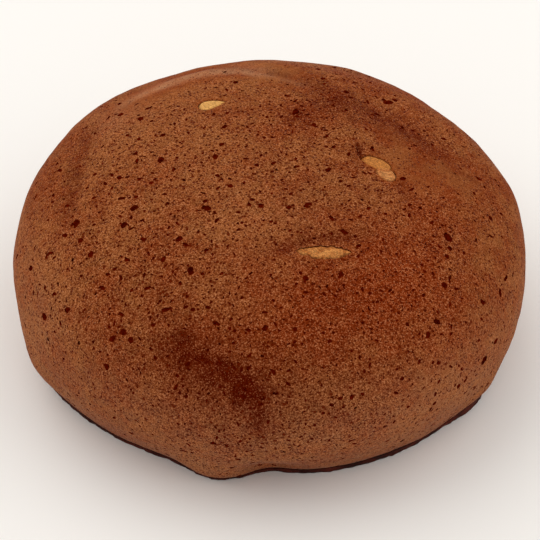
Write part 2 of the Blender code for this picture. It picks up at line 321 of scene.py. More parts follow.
# Kinds of node that are used often, with their settings
TIMES = ("ShaderNodeMath", {"operation": "MULTIPLY"})
PLUS = ("ShaderNodeMath", {"operation": "ADD"})
TIMES_PLUS = ("ShaderNodeMath", {"operation": "MULTIPLY_ADD"})
SCALED = ("ShaderNodeVectorMath", {"operation": "SCALE"})
SOFT_RANGE = ("ShaderNodeMapRange", {"interpolation_type": "SMOOTHSTEP"})
BLEND = ("ShaderNodeMix", {"data_type": "RGBA"})
DRAW = ("FunctionNodeRandomValue", {"data_type": "FLOAT"})
NOISE = ("ShaderNodeTexNoise", {})

# Uneven surface: size, height and seed of each layer of swellings, and how far
# apart seeds lie in the noise
UNEVEN = ((7.0, 0.16, 0), (2.8, 0.09, 1))
SEED_STRIDES = (17.3, 5.1, 9.7)

# Bread: rings of the baked band as a share of its height and an extra inset
BAND_RINGS = ((1.0, 0.0), (0.85, -0.03), (0.65, -0.02), (0.45, 0.0), (0.28, 0.03), (0.12, 0.12), (0.0, 0.35))
BAND_GRAIN = ((0.9, 0.22, 11),)
# Underside: how far out its points go, their least distance from its edge,
# and the height and layers of its swellings
BASE_REACH = 0.985
BASE_MARGIN = 0.5
BASE_RELIEF = 0.25
BASE_SWELLINGS = ((9.0, 1.0, 31), (2.5, 0.5, 32))
# Heights between which the dark brown of the bread fades: baked crust, darkened with painted shade as under
# the topping's lip
BAKED_AND_SHADED_HEIGHTS = (3.0, 6.0)
BREAD_INNER_COLOUR = "#C98F50"

# Width of the thin edge's tint and of the fringe of browner crumb, and the
# patches of browner crumb
EDGE_TINT_WIDTH = 0.55
FRINGE_WIDTH = 0.42
PATCHES = ((0.7, 3.0, 9),)
# Edges sharper than this many degrees stay sharp in the shading
SHARP_ANGLE = 38.0

# Stains on the topping. Spots have azimuth, station, radius and amount, and runs
# pass places, with their widths and amount, as the folds do. Some of them are
# painted light: toast holds painted shade, and pale a painted highlight
# and painted sheen.
STAIN_SPOTS = {
    "gold": (
        (224, 0.15, 13.0, 0.6), (154, 0.33, 14.0, 0.7), (271, 0.19, 9.0, 0.4), (110, 0.35, 10.0, 0.4),
        (197, 0.67, 12.0, 0.2),
    ),
    "red": (
        (292, 0.45, 12.0, 0.8), (268, 0.56, 12.0, 0.5), (345, 0.42, 9.0, 0.5), (318, 0.46, 12.0, 0.5),
        (310, 0.62, 14.0, 0.4), (250, 0.8, 12.0, 0.4), (35, 0.42, 14.0, 0.3), (66, 0.16, 6.0, 0.3),
    ),
    "pale": (
        (257, 1.7, 9.0, 0.15), (310, 1.5, 14.0, 0.1), (86, 0.62, 12.0, 0.25), (147, 0.48, 7.0, 0.22),
    ),
    "toast": (
        # Toasted crust in spots, and painted shade in and around the front dent
        (66, 0.155, 3.6, 0.55), (60, 0.22, 2.5, 0.3), (304, 0.13, 5.0, 0.15), (291, 0.405, 5.0, 0.22),
        (296, 0.48, 7.0, 0.12), (266, 0.95, 12.0, 0.16), (284, 0.93, 10.0, 0.1), (252, 0.64, 9.0, 0.22),
        (266, 0.8, 9.0, 0.28), (240, 0.62, 8.0, 0.15), (231, 0.9, 12.0, 0.08), (248, 0.96, 8.0, 0.14),
        (278, 0.7, 12.0, 0.15), (336, 0.5, 3.0, 0.3), (30, 0.37, 6.0, 0.15),
    ),
}
STAIN_RUNS = {
    "gold": (),
    "red": (
        (((142, 0.54), (130, 0.505), (118, 0.485), (108, 0.47), (98, 0.435), (90, 0.39)), 1.5, 5.0, 1.0),
    ),
    "pale": (
        # Painted highlight along the crest of the cap's edge, in two runs
        (
            ((144, 0.52), (134, 0.483), (120, 0.45), (110, 0.434), (103, 0.424), (98, 0.404), (93, 0.37),
             (88, 0.345)),
            2.6, 1.1, 0.95,
        ),
        (((94, 0.375), (88, 0.345), (82, 0.326), (76, 0.311), (69, 0.29)), 2.0, 0.8, 0.25),
        # Paler crust and painted sheen on the left flank
        (((176, 0.8), (186, 0.77), (197, 0.78), (208, 0.8), (222, 0.82)), 6.0, 8.0, 0.13),
    ),
    "toast": (
        # Painted shade in the front dent and in the hollows and creases along these runs
        (((242, 0.6), (248, 0.634), (254, 0.67), (261, 0.715), (267, 0.765), (269, 0.82)), 2.6, 5.5, 0.62),
        (((268, 0.78), (268, 0.83), (268, 0.88), (268, 0.95), (269, 1.02)), 1.6, 1.6, 0.42),
        (
            ((76, 0.35), (66, 0.315), (58, 0.3), (50, 0.305), (40, 0.335), (26, 0.395), (11, 0.497),
             (356, 0.57)),
            3.0, 6.0, 0.54,
        ),
        (
            ((132, 0.515), (118, 0.487), (108, 0.472), (98, 0.432), (92, 0.397), (85, 0.372), (77, 0.348),
             (69, 0.322), (60, 0.298)),
            0.7, 2.4, 0.32,
        ),
        (((60, 0.265), (50, 0.245), (38, 0.228), (28, 0.21)), 1.2, 1.6, 0.35),
        (((148, 0.58), (160, 0.54), (172, 0.52), (184, 0.53), (196, 0.59)), 1.8, 2.6, 0.5),
        (
            ((266, 0.29), (275, 0.283), (284, 0.276), (291, 0.272), (297, 0.279), (303, 0.293),
             (310, 0.315), (322, 0.345)),
            2.4, 0.8, 0.62,
        ),
        (((258, 0.285), (266, 0.288), (274, 0.292), (284, 0.29)), 0.7, 0.7, 0.35),
        (CREASES["slot at the cap's end"][0], 0.8, 0.45, 1.0),
        (CREASES["run below the right tear"][0], 1.5, 1.5, 0.35),
    ),
}

# The flanks are paler: partly paler crust, partly painted sheen where they turn
# away and painted light where the floor shades them. How much, and between which
# heights it fades
PALE_AND_SHEEN_FLANK_SHARE = 0.30
PALE_AND_SHEEN_FLANK_HEIGHTS = (18.0, 36.0)

# Stage
FLOOR_HALF_WIDTH = 9000.0
SURROUND_COLOUR = "#FFFDFA"
# Lamps: direction they shine from, strength, softness in degrees, colour
LAMPS = {
    "key": ((-0.62, 0.42, 0.66), 1.2, 80.0, "#FFFAF4"),
    "side": ((0.85, 0.12, 0.50), 0.8, 80.0, "#FFFAF4"),
}
# Camera: width of its sensor, distance from its target, degrees above the
# floor, width that it frames at the target, the target, and the nearest and
# farthest that it sees
SENSOR_WIDTH = 36.0
CAMERA_DISTANCE = 620.0
CAMERA_ELEVATION = 43.0
FRAME_WIDTH = 115.8
CAMERA_TARGET = (0.26, -2.59, 19.23)
CAMERA_CLIP = (10.0, 20000.0)


def linear(hex_colour):
    """An sRGB hex colour as linear RGBA."""
    channels = [int(hex_colour[start:start + 2], 16) / 255.0 for start in (1, 3, 5)]
    return [c / 12.92 if c <= 0.04045 else ((c + 0.055) / 1.055) ** 2.4 for c in channels] + [1.0]


def smooth_step(value):
    """A share from 0 to 1 that starts and ends softly."""
    share = np.clip(value, 0.0, 1.0)
    return share * share * (3.0 - 2.0 * share)


def noise_at(points, layers):
    """Smooth noise at points, from layers that each have a size, a height and a seed."""
    total = 0.0
    for size, height, seed in layers:
        shift = Vector([seed * stride for stride in SEED_STRIDES])
        total = total + height * np.array([noise.noise(Vector(point) / size + shift) for point in points])
    return total


def in_mm(size):
    """A setting's size in mm, without the rounding of its storage."""
    return round(size / MM, 4)


def turn_from(degrees, centre):
    """How many degrees azimuths are turned from one, from -180 to 180."""
    return (degrees - centre + 180.0) % 360.0 - 180.0


def lengths(rows):
    """Length of each row as a vector."""
    return np.linalg.norm(rows, axis=-1)


def polar(radius, angle):
    """Points of a plane at a radius and an angle."""
    return np.stack([radius * np.cos(angle), radius * np.sin(angle)], axis=-1)


def running_length(path):
    """Distance along a path to each of its points."""
    return np.concatenate([[0.0], np.cumsum(lengths(np.diff(path, axis=0)))])


# The bun's form


def plan_radius(azimuth, half_width, half_depth):
    """Radius of an ellipse seen from above."""
    return 1.0 / np.hypot(np.cos(azimuth) / half_width, np.sin(azimuth) / half_depth)


def lip_height(azimuth):
    """Height of the topping's lower edge, lowest at the foot and a little ragged."""
    degrees = np.degrees(azimuth)
    from_foot = turn_from(degrees, LUMPS["foot run down at the front"][0])
    swing = LIP_SWING * np.cos(azimuth - math.radians(LIP_HIGH_SIDE))
    wave = LIP_WAVE * np.sin(LIP_WAVES_ROUND * azimuth)
    foot = FOOT_LIP_DROP * np.exp(-(from_foot / FOOT_WIDTH_DEGREES) ** 2)
    ragged = sum(height * np.sin(count * azimuth + count) for count, height in LIP_RIPPLES)
    for centre, width, rise in LIP_RUNS:
        ragged += rise * np.exp(-(turn_from(degrees, centre) / width) ** 2)
    return LIP_MEAN_HEIGHT + swing + wave - foot + ragged


def bare_form(azimuth, station, inset):
    """Points of the bun before its lumps and folds, moved in by the inset."""
    widest = plan_radius(azimuth, HALF_WIDTH - inset, HALF_DEPTH - inset)
    base = plan_radius(azimuth, BASE_HALF_WIDTH - inset, BASE_HALF_DEPTH - inset)
    turn = np.clip(station, 0.0, 1.0) * math.pi / 2.0
    drop = np.clip(station - 1.0, 0.0, 1.0) * (1.0 - lip_height(azimuth) / WIDEST_HEIGHT)
    power = 2.0 / DOME_POWER
    taper = SKIRT_FULLNESS * drop**2 - (SKIRT_FULLNESS - 1.0) * drop**3
    radius = widest * np.sin(turn) ** power - (widest - base) * taper
    rise = (DOME_RISE - inset) * np.clip(np.cos(turn), 0.0, 1.0) ** power
    height = WIDEST_HEIGHT * (1.0 - drop) + rise
    return np.stack([radius * np.cos(azimuth), radius * np.sin(azimuth), height], axis=-1)


def place(azimuth_degrees, station):
    """One point of the bare outside form."""
    azimuth = np.radians(np.array([float(azimuth_degrees)]))
    return bare_form(azimuth, np.array([float(station)]), 0.0)[0]


def smooth_path(places):
    """A Catmull-Rom curve through places on the form."""
    knots = [place(*one) for one in places]
    knots = [2 * knots[0] - knots[1]] + knots + [2 * knots[-1] - knots[-2]]
    points = []
    for first, start, end, last in zip(knots, knots[1:], knots[2:], knots[3:]):
        for step in range(FOLD_STEPS):
            t = step / FOLD_STEPS
            linear_part = (end - first) * t
            square = (2 * first - 5 * start + 4 * end - last) * t**2
            cube = (3 * start - first - 3 * end + last) * t**3
            points.append(0.5 * (2 * start + linear_part + square + cube))
    points.append(knots[-2])
    return points


def fold_height(points, places, inner_width, outer_width, height):
    """Height of a fold at each point, fading out at the fold's two ends."""
    path = smooth_path(places)
    nearest = np.full(len(points), np.inf)
    width = np.full(len(points), outer_width)
    fade = np.ones(len(points))
    for index, (start, end) in enumerate(zip(path, path[1:])):
        along = end - start
        share = np.clip((points - start) @ along / (along @ along), 0.0, 1.0)
        away = points - start - share[:, None] * along
        distance = lengths(away)
        inside = away @ np.cross(start - HEART, along) > 0.0
        run = (index + share) / (len(path) - 1)
        closer = distance < nearest
        nearest = np.where(closer, distance, nearest)
        width = np.where(closer, np.where(inside, inner_width, outer_width), width)
        ends = np.clip(np.minimum(run, 1.0 - run) / FOLD_FADE, 0.0, 1.0)
        fade = np.where(closer, ends, fade)
    return height * fade * np.exp(-(nearest / width) ** 2)


def bumps(points, spots):
    """Height of soft bumps at points: azimuth, station, radius and height of each."""
    total = np.zeros(len(points))
    for azimuth, station, radius, height in spots:
        total += height * np.exp(-(lengths(points - place(azimuth, station)) / radius) ** 2)
    return total


def relief(points, fine):
    """Height of lumps, folds and, on the fine surface, creases and unevenness."""
    total = bumps(points, LUMPS.values())
    for fold in (*FOLDS.values(), *(CREASES.values() if fine else ())):
        total += fold_height(points, *fold)
    return total + noise_at(points, UNEVEN) if fine else total


def bun_form(azimuth, station, inset, fine=True):
    """Points of the bun's form, moved in by the inset, with its relief."""
    outside = bare_form(azimuth, station, 0.0)
    outward = outside - HEART
    first, stretch = LEVELLING
    outward[:, 2] *= 1.0 - np.clip((station - first) / stretch, 0.0, 1.0)
    outward /= lengths(outward)[:, None]
    return bare_form(azimuth, station, inset) + outward * relief(outside, fine)[:, None]


def places_of(plan):
    """Azimuth and station of points of the plan, on the dome."""
    azimuth = np.arctan2(plan[:, 1], plan[:, 0])
    share = np.hypot(plan[:, 0], plan[:, 1]) / plan_radius(azimuth, HALF_WIDTH, HALF_DEPTH)
    return azimuth, np.arcsin(np.minimum(share, 1.0) ** (DOME_POWER / 2.0)) / (math.pi / 2.0)


def crease_rows():
    """Rows of points on the bare form along each narrow crease, so that it is sharp."""
    rows = []
    for places, *_ in CREASES.values():
        path = np.array(smooth_path(places))
        run = running_length(path)
        at = np.arange(0.0, run[-1], CREASE_SPACING)
        line = np.stack([np.interp(at, run, path[:, axis]) for axis in range(3)], axis=-1)
        side = np.cross(line - HEART, np.gradient(line, axis=0))
        side /= lengths(side)[:, None]
        rows += [line + side * offset for offset in CREASE_ROWS]
    return np.vstack(rows)


def surface_frame(azimuth_degrees, station, heading_degrees):
    """Matrix in mm at a place on the bun: Z stands on the surface, X has the heading."""
    step = 0.01
    azimuth = np.radians(float(azimuth_degrees)) + np.array([0.0, step, 0.0])
    stations = station + np.array([0.0, 0.0, step])
    here, beside, below = bun_form(azimuth, stations, 0.0, fine=False)
    normal = Vector(np.cross(below - here, beside - here)).normalized()
    heading = math.radians(heading_degrees)
    level = Vector((math.cos(heading), math.sin(heading), 0.0))
    x_axis = (level - level.dot(normal) * normal).normalized()
    turn = Matrix((x_axis, normal.cross(x_axis), normal)).transposed().to_4x4()
    return Matrix.Translation(Vector(here)) @ turn


# The tears


def even_loop(points, spacing):
    """A closed loop with its points an even distance apart."""
    closed = np.vstack([points, points[:1]])
    run = running_length(closed)
    count = max(LEAST_LOOP, int(round(run[-1] / spacing)))
    at = np.arange(count) * run[-1] / count
    return np.stack([np.interp(at, run, closed[:, axis]) for axis in range(2)], axis=-1)


def lens(tear):
    """The tear's smooth outline in its own plane."""
    angle = np.linspace(0.0, math.tau, LENS_STEPS, endpoint=False)
    along = np.cos(angle)
    across = np.sign(np.sin(angle)) * np.abs(np.sin(angle)) ** tear.point
    x = along * tear.length / 2.0
    y = across * tear.width / 2.0 * (1.0 + tear.tail * along) + tear.bow * (1.0 - along**2)
    return np.stack([x, y], axis=-1)


def tear_plane(tear):
    """Centre and axes in plan of a tear's own plane."""
    at = np.array(surface_frame(tear.azimuth, tear.station, tear.heading))
    return at[:2, 3], at[:2, :2]


def around(outlines):
    """One outline round several that overlap, with their meetings filled out softly."""
    middle = np.mean([outline.mean(axis=0) for outline in outlines], axis=0)
    angle = np.linspace(-math.pi, math.pi, LENS_STEPS, endpoint=False)
    total = np.zeros(len(angle))
    for outline in outlines:
        own = outline - middle
        turn = np.arctan2(own[:, 1], own[:, 0])
        order = np.argsort(turn)
        radius = lengths(own)[order]
        total += np.interp(angle, turn[order], radius, period=math.tau) ** MEETING_POWER
    reach = total ** (1.0 / MEETING_POWER)
    return middle + polar(reach, angle)


def outline_distance(points, outline):
    """Distance from points to a closed outline, below zero inside it."""
    start = outline
    end = np.roll(outline, -1, axis=0)
    along = end - start
    to_point = points[:, None, :] - start[None]
    share = np.clip((to_point * along).sum(-1) / (along**2).sum(-1), 0.0, 1.0)
    distance = lengths(to_point - share[..., None] * along).min(axis=1)
    x, y = points[:, :1], points[:, 1:]
    spans = (start[:, 1] > y) != (end[:, 1] > y)
    rise = np.where(along[:, 1] == 0.0, NEARLY_LEVEL, along[:, 1])
    crosses = spans & (x < start[:, 0] + along[:, 0] * (y - start[:, 1]) / rise)
    return np.where(crosses.sum(axis=1) % 2 == 1, -distance, distance)


class Opening:
    """One opening, made of one tear or of several that meet, in a plane of its own."""

    def __init__(self, names):
        self.tears = [TEARS[name] for name in names]
        planes = [tear_plane(tear) for tear in self.tears]
        self.centre, self.axes = planes[0]
        plans = [lens(tear) @ axes.T + centre for tear, (centre, axes) in zip(self.tears, planes)]
        self.lenses = [self.own(plan) for plan in plans]
        self.smooth = even_loop(around(self.lenses), OUTLINE_SPACING)
        self.width = np.ptp(self.smooth[:, 1])
        self.outline = self.ragged()

    def own(self, plan):
        """Points of the plan in the opening's own plane."""
        return (plan - self.centre) @ np.linalg.inv(self.axes).T

    def ragged(self, offset=0.0):
        """The torn outline, moved out by an offset."""
        tangent = np.roll(self.smooth, -1, axis=0) - np.roll(self.smooth, 1, axis=0)
        normal = np.stack([tangent[:, 1], -tangent[:, 0]], axis=-1)
        normal /= lengths(normal)[:, None]
        x = self.smooth[:, 0]
        flat = np.column_stack([self.smooth, np.full(len(x), self.tears[0].azimuth)])
        calm = smooth_step(np.minimum(x - x.min(), x.max() - x) / END_CALM)
        wander = noise_at(flat, WANDER) * (self.mixed(self.smooth, "ragged") * calm)
        return self.smooth + normal * (wander + offset)[:, None]

    def mixed(self, own, quality, read=np.array):
        """A quality of the tears at points of the plane, blended where they meet."""
        weights = [np.exp(-outline_distance(own, one) / MEETING_WIDTH) for one in self.lenses]
        values = [np.array(read(getattr(tear, quality))) for tear in self.tears]
        total = sum(np.multiply.outer(weight, value) for weight, value in zip(weights, values))
        whole = sum(weights)
        return total / (whole[:, None] if total.ndim > 1 else whole)

    def across(self, own, front, back, ease=smooth_step):
        """A value that goes from the near lip's to the far lip's."""
        return front + (back - front) * ease(own[:, 1] / self.width + 0.5)

    def places(self, own):
        """Azimuth and station of points in the opening's own plane."""
        return places_of(own @ self.axes.T + self.centre)

    def near(self, points):
        """Which points are near the opening, these in its own plane, and their distance."""
        own = self.own(points[:, :2])
        close = lengths(own) < np.abs(self.smooth).max() + TEAR_REACH
        close &= points[:, 2] > WIDEST_HEIGHT
        return close, own[close], outline_distance(own[close], self.outline)


def topping_insets(azimuth, station, openings):
    """Insets of the topping's outside and inside, thin and rolled in at the tears."""
    outside = np.zeros(len(azimuth))
    thickness = np.full(len(azimuth), TOPPING_THICKNESS)
    form = bare_form(azimuth, station, 0.0)
    for opening in openings:
        close, own, distance = opening.near(form)
        beyond = np.maximum(distance, 0.0)
        roll = opening.across(own, opening.mixed(own, "front_roll"), opening.mixed(own, "back_roll"))
        outside[close] += roll * np.exp(-(beyond / ROLL_WIDTH) ** 2)
        thin = EDGE_THICKNESS + (TOPPING_THICKNESS - EDGE_THICKNESS) * smooth_step(beyond / EDGE_TAPER)
        thickness[close] = np.minimum(thickness[close], thin)
    return outside, outside + thickness


def bread_inset(azimuth, station, openings):
    """Inset of the bread: clear of the topping, and risen where it is torn."""
    _, inset = topping_insets(azimuth, station, openings)
    gap = np.full(len(azimuth), CLEARANCE)
    form = bare_form(azimuth, station, 0.0)
    for opening in openings:
        close, own, distance = opening.near(form)
        contact = EDGE_CONTACT + (CLEARANCE - EDGE_CONTACT) * smooth_step(distance / EDGE_TAPER)
        gap[close] = np.minimum(gap[close], contact)
    inset = inset + gap
    for opening in openings:
        close, own, distance = opening.near(form)
        within = 1.0 - np.exp(-(np.minimum(distance, 0.0) / CRUMB_RISE) ** 2)
        front, back = opening.mixed(own, "front_depth"), opening.mixed(own, "back_depth")
        depth = opening.across(own, front, back, partial(np.clip, a_min=0.0, a_max=1.0))
        inset[close] += (depth - inset[close]) * within
    return inset


# Meshing

# One face of a shell: its places, triangles and edge loops
Sheet = namedtuple("Sheet", "azimuth station triangles loops")


def turned_profile():
    """Stations, the radius of a map that keeps shapes, and the share of area."""
    station = np.linspace(0.0, LIP_STATION, PROFILE_STEPS)
    points = bare_form(np.full(PROFILE_STEPS, PROFILE_AZIMUTH), station, 0.0)
    radius = np.hypot(points[:, 0], points[:, 1])
    step = np.hypot(np.diff(radius), np.diff(points[:, 2]))
    middle = (radius[1:] + radius[:-1]) / 2.0
    growth = np.cumsum(step / middle)
    map_radius = np.concatenate([[0.0], radius[1] * np.exp(growth - growth[0])])
    area = np.concatenate([[0.0], np.cumsum(step * middle)])
    return station, map_radius, area / area[-1]


def even_places(count, last_station):
    """Azimuths and stations spread evenly over the form, like seeds on a flower."""
    station, _, area = turned_profile()
    share = (np.arange(count) + 0.5) / count * np.interp(last_station, station, area)
    azimuth = (np.arange(count) * GOLDEN_ANGLE) % math.tau
    return azimuth, np.interp(share, area, station)


def make_sheet(count, last_station, openings, rings, filled, rows=None):
    """Triangles over the form down to a station, open or filled in at the tears.

    Rings are distances from a tear's outline at which extra points follow it,
    and rows are extra points that take the place of others near them.
    """
    azimuth, station = even_places(count, last_station)
    keep = station < last_station - last_station / math.sqrt(count)
    form = bare_form(azimuth, station, 0.0)
    if rows is not None:
        for start in range(0, len(rows), POINTS_AT_ONCE):
            some = rows[None, start:start + POINTS_AT_ONCE]
            keep &= lengths(form[:, None] - some).min(axis=1) > CREASE_SPACING
        extra = places_of(rows[:, :2])
        azimuth, station = np.concatenate([azimuth, extra[0]]), np.concatenate([station, extra[1]])
        keep = np.concatenate([keep, np.ones(len(rows), dtype=bool)])
        form = bare_form(azimuth, station, 0.0)
    for opening in openings:
        close, _, distance = opening.near(form)
        keep[close] &= distance > max(rings) + RING_MARGIN
    parts = [(azimuth[keep], station[keep])]
    for opening in openings:
        for ring in rings:
            spacing = OUTLINE_SPACING + ring * RING_COARSENING
            parts.append(opening.places(even_loop(opening.ragged(ring), spacing)))
        if filled:
            parts.append(opening.places(crumb_points(opening)))
    edges = [opening.places(opening.outline) for opening in openings]
    edges.append((np.arange(RIM_POINTS) * 2.0 * math.pi / RIM_POINTS, np.full(RIM_POINTS, last_station)))
    used = sum(len(part[0]) for part in parts)
    loops = []
    for edge in edges:
        loops.append(list(range(used, used + len(edge[0]))))
        used += len(edge[0])
    azimuth, station = (np.concatenate(one) for one in zip(*parts, *edges))
    return Sheet(azimuth, station, triangles_between(azimuth, station, openings, loops, filled), loops)


def sunflower(count, half_widths):
    """Points spread evenly over an ellipse, like seeds on a flower."""
    index = np.arange(count) + 0.5
    return polar(np.sqrt(index / count), index * GOLDEN_ANGLE) * half_widths


def crumb_points(opening):
    """Points in an opening's own plane, inside its outline, for the crumb."""
    low, high = opening.smooth.min(axis=0), opening.smooth.max(axis=0)
    size = (high - low) / 2.0
    count = int(4.0 * size[0] * size[1] / CRUMB_SPACING**2)
    own = (low + high) / 2.0 + sunflower(count, CRUMB_FILL * size)
    return own[outline_distance(own, opening.outline) < -CRUMB_MARGIN]


def triangles_between(azimuth, station, openings, loops, filled):
    """Delaunay triangles on the map, without those inside open tears."""
    stations, map_radius, _ = turned_profile()
    reach = np.interp(station, stations, map_radius)
    flat = [Vector(pair) for pair in polar(reach, azimuth)]
    edges = [(a, b) for loop in loops for a, b in zip(loop, loop[1:] + loop[:1])]
    result = delaunay_2d_cdt(flat, edges, [], ALL_BETWEEN, SAME_POINT)
    if len(result[0]) != len(flat):
        raise RuntimeError("outlines cross each other or themselves")
    origin = [ids[0] for ids in result[3]]
    triangles = [tuple(origin[corner] for corner in face) for face in result[2]]
    if filled:
        return triangles
    form = bare_form(azimuth, station, 0.0)[:, :2]
    owner = {index: number for number, loop in enumerate(loops[:-1]) for index in loop}
    kept = []
    for face in triangles:
        tears = {owner.get(corner) for corner in face}
        if len(tears) == 1 and None not in tears:
            opening = openings[tears.pop()]
            middle = opening.own(form[list(face)].mean(axis=0)[None])
            if outline_distance(middle, opening.outline)[0] < 0.0:
                continue
        kept.append(face)
    return kept


def strip(first, second):
    """Quads between two loops of the same length."""
    corners = zip(first, first[1:] + first[:1], second[1:] + second[:1], second)
    return [tuple(quad) for quad in corners]


def mesh_object(name, points, faces):
    """An object from points in mm and faces."""
    mesh = bpy.data.meshes.new(name)
    mesh.from_pydata((points * MM).tolist(), [], faces)
    mesh.validate()
    mesh.update()
    obj = bpy.data.objects.new(name, mesh)
    bpy.context.scene.collection.objects.link(obj)
    return obj


def set_attribute(mesh, name, values, domain="POINT"):
    """Store one number for each point or face of a mesh."""
    attribute = mesh.attributes.get(name) or mesh.attributes.new(name, "FLOAT", domain)
    attribute.data.foreach_set("value", np.asarray(values, dtype=np.float32))


def mesh_points(mesh):
    """A mesh's points in mm."""
    points = np.empty(len(mesh.vertices) * 3, dtype=np.float32)
    mesh.vertices.foreach_get("co", points)
    return points.reshape(-1, 3).astype(float) / MM


def topping_shell(openings):
    """The closed shell of the topping, before its bubbles are cut."""
    edge_station = LIP_STATION - LIP_ROUND / WIDEST_HEIGHT
    outer = make_sheet(OUTSIDE_POINTS, edge_station, openings, OUTSIDE_RINGS, False, crease_rows())
    inner = make_sheet(INSIDE_POINTS, edge_station, openings, INSIDE_RINGS, False)
    outside, _ = topping_insets(outer.azimuth, outer.station, openings)
    _, inside = topping_insets(inner.azimuth, inner.station, openings)
    points = [
        bun_form(outer.azimuth, outer.station, outside),
        bun_form(inner.azimuth, inner.station, inside),
    ]
    shift = len(outer.azimuth)
    faces = list(outer.triangles)
    faces += [tuple(corner + shift for corner in reversed(face)) for face in inner.triangles]
    used = shift + len(inner.azimuth)
    for number, (outer_loop, inner_loop) in enumerate(zip(outer.loops, inner.loops)):
        inner_ids = [index + shift for index in inner_loop]
        if number < len(openings):
            opening = openings[number]
            at, down = opening.places(opening.ragged(-EDGE_ROUND))
            above, under = topping_insets(at, down, openings)
            rings = [bun_form(at, down, above + (under - above) * 0.5)]
        else:
            rim = outer.azimuth[outer_loop]
            rings = [bun_form(rim, np.full(len(rim), LIP_STATION), inset) for inset in LIP_INSETS]
        loops = [outer_loop]
        for ring in rings:
            loops.append(list(range(used, used + len(ring))))
            used += len(ring)
            points.append(ring)
        loops.append(inner_ids)
        for first, second in zip(loops, loops[1:]):
            faces += strip(first, second) if number < len(openings) else strip(second, first)
    topping = mesh_object("coffee_topping_crust", np.vstack(points), faces)
    share = np.zeros(used)
    share[:shift] = bubble_share(points[0], outer.station, openings)
    set_attribute(topping.data, "bubble_share", share)
    return topping


def bubble_share(points, station, openings):
    """How thick the bubbles lie at points of the outside, with none near the openings given."""
    low, high = CROWN_REACH
    share = FLANK_BUBBLES + CROWN_BUBBLES * smooth_step((high - station) / (high - low))
    share += stain(points, BUBBLE_SPOTS, BUBBLE_RUNS)
    for opening in openings:
        close, _, distance = opening.near(points)
        share[close] *= distance > TEAR_CALM
    return np.clip(share, 0.0, 1.0)


# The bubbles


def feed(node, inputs):
    """Give a node its inputs, by name or number or in order.

    Each is a value, a socket to link, or a node to link by its first output.
    """
    for key, value in inputs.items() if isinstance(inputs, dict) else enumerate(inputs):
        if isinstance(value, bpy.types.Node):
            value = value.outputs[0]
        if isinstance(value, bpy.types.NodeSocket):
            node.id_data.links.new(value, node.inputs[key])
        else:
            node.inputs[key].default_value = value


def add_node(tree, kind, settings=None, inputs=()):
    """Add a node to a tree with its settings and inputs."""
    node = tree.nodes.new(kind)
    for name, value in (settings or {}).items():
        setattr(node, name, value)
    feed(node, inputs)
    return node


BUBBLE_INPUTS = {
    "NodeSocketFloat": ("Spacing", "Density", "Smallest", "Largest", "Depth", "Stretch", "Raggedness"),
    "NodeSocketInt": ("Subdivisions", "Seed"),
    "NodeSocketMaterial": ("Material",),
}


